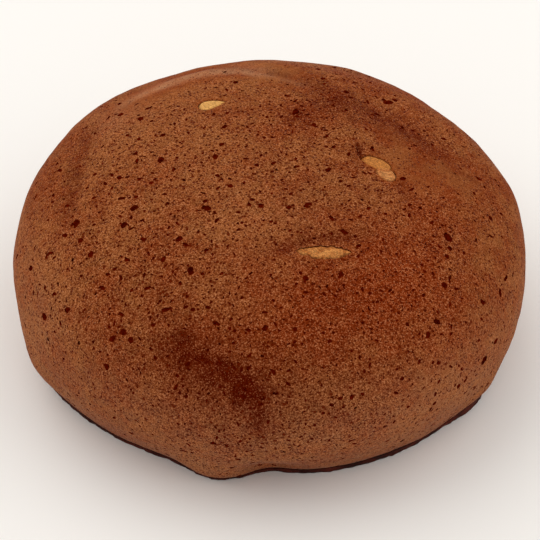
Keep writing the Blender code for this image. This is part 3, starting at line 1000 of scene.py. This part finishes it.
def bubble_tree():
    """Burst bubbles: ragged balls strewn over a surface and cut from it."""
    tree = bpy.data.node_groups.new("burst bubbles", "GeometryNodeTree")
    face = tree.interface
    face.new_socket("Geometry", in_out="OUTPUT", socket_type="NodeSocketGeometry")
    face.new_socket("Geometry", in_out="INPUT", socket_type="NodeSocketGeometry")
    for kind, names in BUBBLE_INPUTS.items():
        for name in names:
            face.new_socket(name, in_out="INPUT", socket_type=kind)
    add = partial(add_node, tree)
    given = add("NodeGroupInput").outputs
    share = add("GeometryNodeInputNamedAttribute", {"data_type": "FLOAT"}, {"Name": "bubble_share"})
    strewn = add(
        "GeometryNodeDistributePointsOnFaces",
        {"distribute_method": "POISSON"},
        {
            "Mesh": given["Geometry"],
            "Distance Min": given["Spacing"],
            "Density Max": given["Density"],
            "Density Factor": share.outputs["Attribute"],
            "Seed": given["Seed"],
        },
    )
    # Size, stretch and turn of each ball
    draw = add(*DRAW, {"Seed": given["Seed"]})
    skewed = add("ShaderNodeMath", {"operation": "POWER"}, (draw.outputs[1], BUBBLE_SKEW))
    size = add("ShaderNodeMapRange", {}, (skewed, 0.0, 1.0, given["Smallest"], given["Largest"]))
    radius = add(*TIMES, (size, 0.5))
    pull, spin = (
        add(*DRAW, {2: low, 3: high, "ID": add("GeometryNodeInputIndex"), "Seed": seed}).outputs[1]
        for low, high, seed in ((1.0, given["Stretch"], STRETCH_SEED), (0.0, math.tau, SPIN_SEED))
    )
    long_side = add(*TIMES, (radius, pull))
    short_side = add("ShaderNodeMath", {"operation": "DIVIDE"}, (radius, pull))
    deep = add(*TIMES, (radius, given["Depth"]))
    scale = add("ShaderNodeCombineXYZ", {}, (long_side, short_side, deep))
    turn = add("ShaderNodeCombineXYZ", {}, {"Z": spin})
    rotation = add(
        "FunctionNodeRotateRotation",
        {"rotation_space": "LOCAL"},
        {"Rotation": strewn.outputs["Rotation"], "Rotate By": turn},
    )
    ball = add("GeometryNodeMeshIcoSphere", {}, {"Radius": 1.0, "Subdivisions": given["Subdivisions"]})
    balls = add(
        "GeometryNodeInstanceOnPoints",
        {},
        {"Points": strewn.outputs["Points"], "Instance": ball, "Rotation": rotation, "Scale": scale},
    )
    # Their ragged surface, and the cut
    grain = add(*NOISE, {"Scale": 1.0 / (BUBBLE_GRAIN * MM), "Detail": 1.0})
    centred = add(
        "ShaderNodeVectorMath", {"operation": "SUBTRACT"}, (grain.outputs["Color"], (0.5, 0.5, 0.5))
    )
    push = add(*TIMES, (given["Smallest"], given["Raggedness"]))
    offset = add(*SCALED, {0: centred, "Scale": push})
    real = add("GeometryNodeRealizeInstances", {}, (balls,))
    ragged = add("GeometryNodeSetPosition", {}, {"Geometry": real, "Offset": offset})
    marked = add(
        "GeometryNodeStoreNamedAttribute",
        {"data_type": "FLOAT", "domain": "FACE"},
        {"Geometry": ragged, "Name": "pit", "Value": 1.0},
    )
    cut = add(
        "GeometryNodeMeshBoolean",
        {"operation": "DIFFERENCE", "solver": "MANIFOLD"},
        {"Mesh 1": given["Geometry"], "Mesh 2": marked},
    )
    whole = add("GeometryNodeRealizeInstances", {}, (cut,))
    painted = add("GeometryNodeSetMaterial", {}, {"Geometry": whole, "Material": given["Material"]})
    add("NodeGroupOutput", {}, (painted,))
    return tree


def cut_scattered_bubbles(topping, settings, material):
    """Strew each size class of bubbles over the topping and cut it."""
    tree = bubble_tree()
    sockets = {item.name: item.identifier for item in tree.interface.items_tree if item.in_out == "INPUT"}
    for number, (name, row) in enumerate(BUBBLES.items()):
        spacing, chance, smallest, largest, subdivisions = row
        values = {
            "Spacing": spacing * MM,
            "Density": chance * settings.bubble_share / MM**2,
            "Smallest": smallest * MM,
            "Largest": largest * MM,
            "Depth": BUBBLE_DEPTH,
            "Stretch": BUBBLE_STRETCH,
            "Raggedness": BUBBLE_RAGGED,
            "Subdivisions": subdivisions,
            "Seed": settings.seed + number,
            "Material": material,
        }
        modifier = topping.modifiers.new(f"{name} bubbles", "NODES")
        modifier.node_group = tree
        for key, value in values.items():
            modifier[sockets[key]] = value
    return make_plain(topping)


def make_plain(obj):
    """Turn an object's modifiers into plain mesh."""
    graph = bpy.context.evaluated_depsgraph_get()
    evaluated = obj.evaluated_get(graph)
    mesh = bpy.data.meshes.new_from_object(evaluated, preserve_all_data_layers=True, depsgraph=graph)
    obj.modifiers.clear()
    old = obj.data
    obj.data = mesh
    bpy.data.meshes.remove(old)
    mesh.name = obj.name
    return obj


def named_bubbles(depth):
    """Ragged balls at the places of the largest burst bubbles."""
    points, faces = [], []
    for number, (azimuth, station, diameter) in enumerate(PITS):
        at = surface_frame(azimuth, station, PIT_TURN * number)
        bpy.ops.mesh.primitive_ico_sphere_add(subdivisions=3, radius=1.0)
        ball = bpy.context.object
        shift = len(points)
        own = np.array([vertex.co for vertex in ball.data.vertices])
        swell = 1.0 + noise_at(own, [(size, height, seed + number) for size, height, seed in PIT_SWELLINGS])
        own *= swell[:, None] * np.array([*(diameter * share for share in PIT_HALF_WIDTHS), depth])
        points += [at @ Vector(point) for point in own]
        faces += [tuple(corner + shift for corner in face.vertices) for face in ball.data.polygons]
        bpy.data.objects.remove(ball, do_unlink=True)
    cutter = mesh_object("named_bubbles", np.array(points), faces)
    set_attribute(cutter.data, "pit", np.ones(len(cutter.data.polygons)), "FACE")
    return cutter


def cut_named_bubbles(topping, depth):
    """Cut the largest bubbles, which have places of their own."""
    cutter = named_bubbles(depth)
    boolean = topping.modifiers.new("named bubbles", "BOOLEAN")
    boolean.operation = "DIFFERENCE"
    boolean.solver = "MANIFOLD"
    boolean.object = cutter
    make_plain(topping)
    bpy.data.objects.remove(cutter, do_unlink=True)


# The bread


def bread_body(openings):
    """The closed body of the bread, with the crumb that shows in the tears."""
    top = make_sheet(BREAD_POINTS, LIP_STATION, openings, BREAD_RINGS, True)
    inset = bread_inset(top.azimuth, top.station, openings)
    crumb = bun_form(top.azimuth, top.station, inset)
    crumb += crumb_relief(crumb, openings)
    points = [crumb]
    faces = list(top.triangles)
    used = len(crumb)
    before = top.loops[-1]
    rim = top.azimuth[before]
    height = lip_height(rim) - CLEARANCE
    for share, ring_inset in BAND_RINGS:
        ring = bun_form(rim, np.full(RIM_POINTS, LIP_STATION), BAND_INSET + ring_inset)
        rough = noise_at(ring, BAND_GRAIN) * (1.0 - share**2)
        ring[:, :2] += polar(rough, rim)
        ring[:, 2] = height * share
        ids = list(range(used, used + RIM_POINTS))
        used += RIM_POINTS
        points.append(ring)
        faces += strip(ids, before)
        before = ids
    floor, triangles = base_sheet(points[-1])
    points.append(floor)
    lookup = before + list(range(used, used + len(floor)))
    faces += [tuple(lookup[corner] for corner in reversed(face)) for face in triangles]
    return mesh_object("bun_bread", np.vstack(points), faces)


def base_sheet(rim):
    """Points of the underside inside its rim, and triangles over rim and points."""
    plan = sunflower(BASE_POINTS, BASE_REACH * np.abs(rim[:, :2]).max(axis=0))
    edge = -outline_distance(plan, rim[:, :2])
    plan, edge = plan[edge > BASE_MARGIN], edge[edge > BASE_MARGIN]
    flat = np.column_stack([plan, np.zeros(len(plan))])
    rise = BASE_RELIEF * np.clip(noise_at(flat, BASE_SWELLINGS), 0.0, 1.0)
    flat[:, 2] = rise * smooth_step(edge / BASE_RIM_WIDTH)
    loop = list(range(len(rim)))
    corners = [Vector(point) for point in np.vstack([rim[:, :2], plan])]
    edges = list(zip(loop, loop[1:] + loop[:1]))
    result = delaunay_2d_cdt(corners, edges, [], INSIDE_EDGES, SAME_POINT)
    return flat, [tuple(result[3][corner][0] for corner in face) for face in result[2]]


def crumb_relief(points, openings):
    """How far the torn crumb stands out or in, along the way out of the bun."""
    height = np.zeros(len(points))
    for opening in openings:
        close, own, distance = opening.near(points)
        rough = distance < CRUMB_ROUGH_REACH
        torn = np.flatnonzero(close)[rough]
        fade = smooth_step((CRUMB_ROUGH_REACH - distance[rough]) / (2.0 * CRUMB_ROUGH_REACH))
        height[torn] += opening.mixed(own[rough], "rough") * noise_at(points[torn], CRUMB_GRAIN) * fade
    outward = points - HEART
    return outward / lengths(outward)[:, None] * height[:, None]


# Colour laid on the surface


def back_to_bare_form(points):
    """Points of the dome moved back to the bare form, along the way that relief moved them."""
    radius = plan_radius(np.arctan2(points[:, 1], points[:, 0]), HALF_WIDTH, HALF_DEPTH)
    across = np.hypot(points[:, 0], points[:, 1]) / radius
    rise = np.maximum(points[:, 2] - WIDEST_HEIGHT, 0.0) / DOME_RISE
    reach = (across**DOME_POWER + rise**DOME_POWER) ** (1.0 / DOME_POWER)
    return np.where(rise[:, None] > 0.0, HEART + (points - HEART) / reach[:, None], points)


def stain(points, spots, runs):
    """Strength at points of a stain, of painted shade, highlight or sheen, or of the bubbles' spread, from
    its spots and its runs.
    """
    points = back_to_bare_form(points)
    return sum((fold_height(points, *run) for run in runs), bumps(points, spots))


def tear_edges(points, openings):
    """Strength of the thin edge's colour at points of the topping."""
    strength = np.zeros(len(points))
    for opening in openings:
        close, own, distance = opening.near(points)
        back, front = opening.mixed(own, "tints").T
        tint = opening.across(own, front, back) * np.exp(-(np.maximum(distance, 0.0) / EDGE_TINT_WIDTH) ** 2)
        strength[close] = np.maximum(strength[close], tint)
    return strength


def paint_topping(topping, openings):
    """Store the stains of the topping at its points, with its pale flanks, which are partly painted sheen;
    some stains are painted shade and a painted highlight.
    """
    points = mesh_points(topping.data)
    strengths = {name: stain(points, spots, STAIN_RUNS[name]) for name, spots in STAIN_SPOTS.items()}
    # The flanks get paler, partly as painted sheen and painted light against the floor's shade
    low, high = PALE_AND_SHEEN_FLANK_HEIGHTS
    strengths["pale"] += PALE_AND_SHEEN_FLANK_SHARE * (1.0 - smooth_step((points[:, 2] - low) / (high - low)))
    for name, strength in strengths.items():
        set_attribute(topping.data, name, strength)
    set_attribute(topping.data, "thin_edge", tear_edges(points, openings))
    _, station = places_of(back_to_bare_form(points)[:, :2])
    station = np.where(points[:, 2] > WIDEST_HEIGHT, station, 1.0)
    set_attribute(topping.data, "grain_share", bubble_share(points, station, []))


def paint_bread(bread, openings):
    """Store the crumb's colours and the baked share, which also carries painted shade, at the bread's points.
    """
    points = mesh_points(bread.data)
    colours = np.tile(np.array(linear(BREAD_INNER_COLOUR)), (len(points), 1))
    for opening in openings:
        close, own, distance = opening.near(points)
        outline = np.abs(np.minimum(distance, 0.0))
        seam = np.minimum(np.abs(outline_distance(own, opening.lenses[0])), outline)
        patchy = opening.mixed(own, "rough") * (1.0 + noise_at(points[close], PATCHES))
        fringe = np.maximum(np.exp(-(seam / FRINGE_WIDTH) ** 2), patchy)
        fringe = np.clip(fringe, 0.0, 1.0)[:, None]
        shades = opening.mixed(own, "crumb", linear) * (1.0 - fringe)
        shades += opening.mixed(own, "fringe", linear) * fringe
        torn = distance < CRUMB_COLOUR_REACH
        colours[np.flatnonzero(close)[torn]] = shades[torn]
    layer = bread.data.attributes.new("crumb_colour", "FLOAT_COLOR", "POINT")
    layer.data.foreach_set("color", colours.astype(np.float32).ravel())
    # Darker towards the bottom: baked crust, with painted shade under the topping's lip
    low, high = BAKED_AND_SHADED_HEIGHTS
    set_attribute(bread.data, "baked", 1.0 - smooth_step((points[:, 2] - low) / (high - low)))


def new_material(name):
    """An empty material, its way to add nodes, its shader and its coordinates in mm."""
    material = bpy.data.materials.new(name)
    material.use_nodes = True
    add = partial(add_node, material.node_tree)
    metres = add("ShaderNodeTexCoord").outputs["Object"]
    own = add(*SCALED, {0: metres, "Scale": 1.0 / MM})
    return material, add, material.node_tree.nodes["Principled BSDF"], own


def coffee_crust(settings):
    """Baked coffee sugar paste: a dry, matte, finely pored skin of caramel brown.

    Beaten sugar and coffee dry to a dull skin full of pinholes. It is redder
    where it is thick and nearly burnt in spots. Painted shade darkens its hollows,
    creases, pinholes and bubbles; a painted highlight runs along its crest and
    painted sheen lies on its flanks.
    """
    material, add, shader, own = new_material("baked coffee sugar crust")
    laid = {
        name: add("ShaderNodeAttribute", {"attribute_name": name}).outputs["Fac"]
        for name in (*STAIN_SPOTS, "thin_edge", "pit", "grain_share")
    }
    # Grains of sugar, clouds of deeper browning, patches and slow drifts: size
    # in mm and detail
    grain, clouds, patches, drift = (
        add(*NOISE, {"Vector": own, "Scale": 1 / size, "Detail": detail, "Roughness": 0.65})
        for size, detail in ((in_mm(settings.grain_size), 2.0), (2.4, 3.0), (5.0, 2.0), (13.0, 2.0))
    )
    both = add(*PLUS, (patches, drift))
    spread = add(*SOFT_RANGE, (both, 0.78, 1.22))
    browns = {0: spread, 6: settings.crust_light, 7: settings.crust_dark}
    colour = add(*BLEND, browns).outputs[2]
    # What the clouds and grains do: break up and blur the stains, cloud the
    # tone, speckle it, stand out pale or dark, and keep the toasted paste and
    # its painted shade off.
    # Each row has the noise, the range that it covers and what this becomes
    broken, blurred, cloudy, speckle, pale, dark, sparing = (
        add(*SOFT_RANGE, row)
        for row in (
            (clouds, 0.30, 0.70, 0.55, 1.35),
            (clouds, 0.30, 0.70, 0.80, 1.15),
            (clouds, 0.25, 0.75, 1.12, 0.84),
            (grain, 0.34, 0.66, 0.75, 1.25),
            (grain, 0.50, 0.70, 0.0, 0.62),
            (grain, 0.30, 0.50, 0.60, 0.0),
            (grain, 0.45, 0.70, 1.12, 0.50),
        )
    )
    # The grains are calmer where the bubbles are few
    contrast = add(*SOFT_RANGE, (laid["grain_share"], 0.05, 0.6, 0.45, 1.0))
    calmed = add("ShaderNodeMix", {"data_type": "FLOAT"}, {0: contrast, 2: 1.0, 3: speckle})
    tone, pale_grains, dark_grains, browned = (
        add(*TIMES, pair)
        for pair in ((cloudy, calmed), (contrast, pale), (contrast, dark), (blurred, sparing))
    )
    # Stains that were laid on the surface, broken up by the clouds, and the
    # grains between them, which stay paler than the toasted paste and its painted
    # shade. The pale stain also holds a painted highlight and painted sheen.
    layers = (
        ("gold", broken, settings.crust_gold),
        ("red", broken, settings.crust_red),
        # Pale crust, with a painted highlight on the crest and painted sheen on the flanks
        ("pale", broken, settings.crust_pale_and_highlight),
        (None, pale_grains, settings.sugar),
        (None, dark_grains, settings.pinhole),
        # Toasted crust, and painted shade in the hollows, creases and dent
        ("toast", browned, settings.crust_toast_and_shade),
    )
    for name, amount, shade in layers:
        if name:
            amount = add(*TIMES, (laid[name], amount))
        colour = add(*BLEND, {0: amount, 6: colour, 7: shade}).outputs[2]
    colour = add(*SCALED, {0: colour, "Scale": tone}).outputs[0]
    # Pinholes, too small to be cut, in three sizes, painted dark partly as the shade inside them
    size, swing = PINHOLE_WOBBLE
    wobble = add(*NOISE, {"Vector": own, "Scale": 1.0 / size, "Detail": 1.0})
    shaken = add(
        "ShaderNodeVectorMath",
        {"operation": "MULTIPLY_ADD"},
        (wobble.outputs["Color"], (swing, swing, swing), own),
    )
    holes = 0.0
    for cell, radius, rarity in PINHOLES:
        cells = add("ShaderNodeTexVoronoi", {}, {"Vector": shaken, "Scale": 1.0 / cell})
        edges = (radius / cell * share for share in PINHOLE_EDGE)
        inside = add(*SOFT_RANGE, (cells.outputs["Distance"], *edges, 1.0, 0.0))
        draw = add("ShaderNodeSeparateColor", {}, (cells.outputs["Color"],))
        chance = add(*PLUS, (draw, laid["grain_share"]))
        drawn = add(*SOFT_RANGE, (chance, rarity, rarity + PINHOLE_FADE))
        hole = add(*TIMES, (inside, drawn))
        holes = add("ShaderNodeMath", {"operation": "MAXIMUM"}, (holes, hole))
    # Pinholes and bubble walls get their own dark colour, deepened with painted shade
    tops = (
        (laid["thin_edge"], settings.crust_edge),
        (add(*TIMES, (holes, PINHOLE_DARKNESS)), settings.pinhole),
        (laid["pit"], settings.bubble),
    )
    for amount, shade in tops:
        colour = add(*BLEND, {0: amount, 6: colour, 7: shade}).outputs[2]
    # Fine sugar dust shows where the surface turns away, and none lies in the pits
    dust = add(*TIMES_PLUS, (laid["pit"], -SUGAR_DUST, SUGAR_DUST))
    depth = add(*TIMES, (holes, -PINHOLE_DEPTH))
    height = add(*TIMES_PLUS, (grain, GRAIN_HEIGHT, depth))
    bump = add("ShaderNodeBump", {}, {"Height": height, "Distance": MM, "Strength": BUMP_STRENGTH})
    looks = {"Base Color": colour, "Roughness": 0.65, "Specular IOR Level": 0.0, "Normal": bump}
    feed(shader, looks | {"Sheen Weight": dust, "Sheen Roughness": 0.2})
    return material


def bun_bread_material(settings):
    """Wheat bread: a pale open crumb inside, baked red-brown and dry below, darkened there with painted
    shade.
    """
    material, add, shader, own = new_material("wheat bread crumb and baked base")
    # Grain of the crumb and clouds of the baked base: size in mm and detail
    fine, clouds = (
        add(*NOISE, {"Vector": own, "Scale": 1 / size, "Detail": detail, "Roughness": 0.6})
        for size, detail in ((in_mm(settings.crumb_grain), 2.0), (5.0, 3.0))
    )
    spread, tone = (
        add(*SOFT_RANGE, row)
        for row in ((clouds, 0.35, 0.65), (fine, 0.3, 0.7, 0.6, 1.42))
    )
    colour = add("ShaderNodeAttribute", {"attribute_name": "crumb_colour"}).outputs["Color"]
    share = add("ShaderNodeAttribute", {"attribute_name": "baked"}).outputs["Fac"]
    # The baked browns, darkened with painted shade, take over towards the bottom
    baked = add(*BLEND, {0: spread, 6: settings.base_light_and_shaded, 7: settings.base_dark_and_shaded})
    both = add(*BLEND, {0: share, 6: colour, 7: baked.outputs[2]})
    toned = add(*SCALED, {0: both.outputs[2], "Scale": tone})
    height = add(*TIMES, (fine, CRUMB_GRAIN_HEIGHT))
    bump = add("ShaderNodeBump", {}, {"Height": height, "Distance": MM, "Strength": BUMP_STRENGTH})
    feed(shader, {"Base Color": toned, "Roughness": 0.75, "Specular IOR Level": 0.1, "Normal": bump})
    return material


def plain_floor(settings):
    """Matte painted studio floor, which gives back no gleam."""
    material, _, shader, _ = new_material("matte studio floor")
    feed(shader, {"Base Color": settings.floor_colour, "Roughness": 0.9, "Specular IOR Level": 0.1})
    return material


# The pieces


def finish_piece(obj, material, node):
    """Give a piece its material, shading and place in the frame."""
    obj.data.materials.clear()
    obj.data.materials.append(material)
    obj.data.polygons.foreach_set("material_index", np.zeros(len(obj.data.polygons), dtype=np.int32))
    obj.data.shade_smooth()
    obj.data.set_sharp_from_angle(angle=math.radians(SHARP_ANGLE))
    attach(obj, "root")
    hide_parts(node)


def make_topping(settings):
    """The coffee topping with its tears, bubbles, stains with painted shade, highlight and sheen, and
    material.
    """
    openings = [Opening(names) for names in OPENINGS]
    material = coffee_crust(settings)
    topping = topping_shell(openings)
    cut_named_bubbles(topping, in_mm(settings.pit_depth))
    cut_scattered_bubbles(topping, settings, material)
    paint_topping(topping, openings)
    finish_piece(topping, material, "coffee_topping")
    return topping


def make_bread(settings):
    """The bread with its crumb, band and underside."""
    openings = [Opening(names) for names in OPENINGS]
    bread = bread_body(openings)
    paint_bread(bread, openings)
    finish_piece(bread, bun_bread_material(settings), "bread")
    return bread


def make_floor(settings):
    """A wide plain floor under the bun."""
    half = in_mm(settings.floor_half_width)
    corners = np.array([[-half, -half, 0.0], [half, -half, 0.0], [half, half, 0.0], [-half, half, 0.0]])
    floor = mesh_object("studio_floor", corners, [(0, 1, 2, 3)])
    floor.data.materials.append(plain_floor(settings))
    return floor


def add_lamp(name, direction, strength, softness, colour):
    """A soft, far lamp that shines from a direction, evenly over the floor."""
    lamp = bpy.data.lights.new(name, "SUN")
    lamp.energy = strength
    lamp.angle = math.radians(softness)
    lamp.color = linear(colour)[:3]
    obj = bpy.data.objects.new(name, lamp)
    obj.location = Vector(direction)
    obj.rotation_euler = (-Vector(direction)).to_track_quat("-Z", "Y").to_euler()
    bpy.context.scene.collection.objects.link(obj)
    return obj


def make_lights(settings):
    """Soft studio lamps and an even surround."""
    for name, (direction, strength, softness, colour) in LAMPS.items():
        add_lamp(name, direction, strength * settings.light_share, softness, colour)
    world = bpy.data.worlds.new("studio surround")
    world.use_nodes = True
    surround = {"Color": linear(SURROUND_COLOUR), "Strength": settings.surround}
    feed(world.node_tree.nodes["Background"], surround)
    bpy.context.scene.world = world
    bpy.context.scene.view_settings.view_transform = "Standard"


def make_camera(settings):
    """A camera at the photograph's angle and distance."""
    camera = bpy.data.cameras.new("photo_camera")
    camera.sensor_width = SENSOR_WIDTH
    distance = in_mm(settings.camera_distance)
    camera.lens = SENSOR_WIDTH * distance / FRAME_WIDTH
    camera.clip_start, camera.clip_end = (MM * end for end in CAMERA_CLIP)
    obj = bpy.data.objects.new("photo_camera", camera)
    away = Vector((0.0, -math.cos(settings.elevation), math.sin(settings.elevation)))
    obj.location = (Vector(CAMERA_TARGET) + distance * away) * MM
    obj.rotation_euler = (-away).to_track_quat("-Z", "Y").to_euler()
    bpy.context.scene.collection.objects.link(obj)
    bpy.context.scene.camera = obj
    return obj


# The add-on


def colour_property(name, description, hex_colour):
    """A colour that a user can change."""
    return FloatVectorProperty(
        name=name, description=description, subtype="COLOR", size=4, min=0.0, max=1.0,
        default=linear(hex_colour),
    )


def size_property(name, description, size):
    """A size in mm that a user can change, kept in metres."""
    return FloatProperty(
        name=name, description=description, subtype="DISTANCE", unit="LENGTH", min=MM / 100.0,
        default=size * MM, precision=5,
    )


def share_property(name, description, share, most):
    """A share or strength that a user can change."""
    return FloatProperty(
        name=name, description=description, subtype="FACTOR", min=0.0, max=most, default=share
    )


class BunToppingSettings(bpy.types.PropertyGroup):
    """Sizes and colours of the coffee topping."""

    bubble_share: share_property("Bubbles", "Share of the scattered burst bubbles", 1.0, 1.5)
    seed: IntProperty(name="Seed", description="Draw of the scattered bubbles", default=7, min=0)
    pit_depth: size_property("Bubble depth", "Depth of the largest burst bubbles", PIT_DEPTH)
    grain_size: size_property("Sugar grain", "Size of the grains in the crust", GRAIN_SIZE)
    crust_light: colour_property("Light crust", "Lighter brown of the crust", "#894D27")
    crust_dark: colour_property("Dark crust", "Darker brown of the crust", "#7A3616")
    crust_gold: colour_property("Golden crust", "Crust that browned least", "#90532C")
    # This colour also paints the highlight on the crest and the sheen on the flanks
    crust_pale_and_highlight: colour_property("Pale crust", "Thin crust, stretched or dusty", "#AA7452")
    sugar: colour_property("Sugar", "Pale grains in the crust", "#B17A54")
    crust_red: colour_property("Red crust", "Crust with a red cast", "#7E2D0A")
    # This colour also paints the shade in the hollows, creases and dent
    crust_toast_and_shade: colour_property("Toasted crust", "Nearly burnt crust in the hollows", "#4E0C00")
    crust_edge: colour_property("Thin edge", "Thin crust at the tears", "#96491B")
    # The pinholes' dark inside is partly painted shade; the dark grains use this colour too
    pinhole: colour_property("Pinholes", "Inside of the pinholes", "#581400")
    # The bubble walls: their own dark inside, deepened with painted shade
    bubble: colour_property("Burst bubbles", "Inside of the burst bubbles", "#5E1000")


class BunBreadSettings(bpy.types.PropertyGroup):
    """Sizes and colours of the bread."""

    crumb_grain: size_property("Crumb grain", "Size of the grains of the crumb", CRUMB_GRAIN_SIZE)
    # The base's browns are baked crust darkened with painted shade
    base_light_and_shaded: colour_property("Light base", "Lighter brown of the baked base", "#4A1A10")
    base_dark_and_shaded: colour_property("Dark base", "Darker brown of the baked base", "#2A0D08")


class BunStageSettings(bpy.types.PropertyGroup):
    """Floor, lights and camera."""

    floor_colour: colour_property("Floor", "Colour of the studio floor", "#F3F2F0")
    floor_half_width: size_property("Floor size", "Half the width of the floor", FLOOR_HALF_WIDTH)
    light_share: share_property("Lamps", "Share of the lamps' power", 1.0, 3.0)
    surround: share_property("Surround", "Strength of the even surround", 0.75, 3.0)
    camera_distance: size_property("Camera distance", "From the camera to its target", CAMERA_DISTANCE)
    elevation: FloatProperty(
        name="Camera elevation", description="Angle of the camera above the floor",
        default=math.radians(CAMERA_ELEVATION), min=0.0, max=math.radians(89.0), subtype="ANGLE",
        unit="ROTATION",
    )


class BUN_OT_topping(bpy.types.Operator):
    """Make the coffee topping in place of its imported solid"""

    bl_idname = "bun.topping"
    bl_label = "Make Coffee Topping"

    def execute(self, context):
        """Make the piece."""
        make_topping(context.scene.bun_topping)
        return {"FINISHED"}


class BUN_OT_bread(bpy.types.Operator):
    """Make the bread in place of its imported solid"""

    bl_idname = "bun.bread"
    bl_label = "Make Bread"

    def execute(self, context):
        """Make the piece."""
        make_bread(context.scene.bun_bread)
        return {"FINISHED"}


class BUN_OT_stage(bpy.types.Operator):
    """Make the floor, the lights and the camera"""

    bl_idname = "bun.stage"
    bl_label = "Make Stage"

    def execute(self, context):
        """Make the stage."""
        settings = context.scene.bun_stage
        make_floor(settings)
        make_lights(settings)
        make_camera(settings)
        return {"FINISHED"}


class BUN_PT_panel(bpy.types.Panel):
    """The bun's pieces and settings"""

    bl_idname = "BUN_PT_panel"
    bl_label = "Coffee Bun"
    bl_space_type = "VIEW_3D"
    bl_region_type = "UI"
    bl_category = "Bun"

    def draw(self, context):
        """List the operators, each with its settings."""
        for operator, group in OPERATORS:
            box = self.layout.box()
            box.operator(operator)
            settings = getattr(context.scene, group)
            for name in settings.__annotations__:
                box.prop(settings, name)


OPERATORS = (("bun.topping", "bun_topping"), ("bun.bread", "bun_bread"), ("bun.stage", "bun_stage"))
SETTINGS = {"bun_topping": BunToppingSettings, "bun_bread": BunBreadSettings, "bun_stage": BunStageSettings}
CLASSES = (*SETTINGS.values(), BUN_OT_topping, BUN_OT_bread, BUN_OT_stage, BUN_PT_panel)


def register():
    """Register the classes and hang the settings on the scene."""
    for one in CLASSES:
        bpy.utils.register_class(one)
    for name, group in SETTINGS.items():
        setattr(bpy.types.Scene, name, PointerProperty(type=group))


def unregister():
    """Take the settings and classes away again."""
    for name in SETTINGS:
        delattr(bpy.types.Scene, name)
    for one in reversed(CLASSES):
        bpy.utils.unregister_class(one)


def main():
    """Make every piece and the stage."""
    register()
    bpy.ops.bun.topping()
    bpy.ops.bun.bread()
    bpy.ops.bun.stage()


if __name__ == "__main__":
    main()
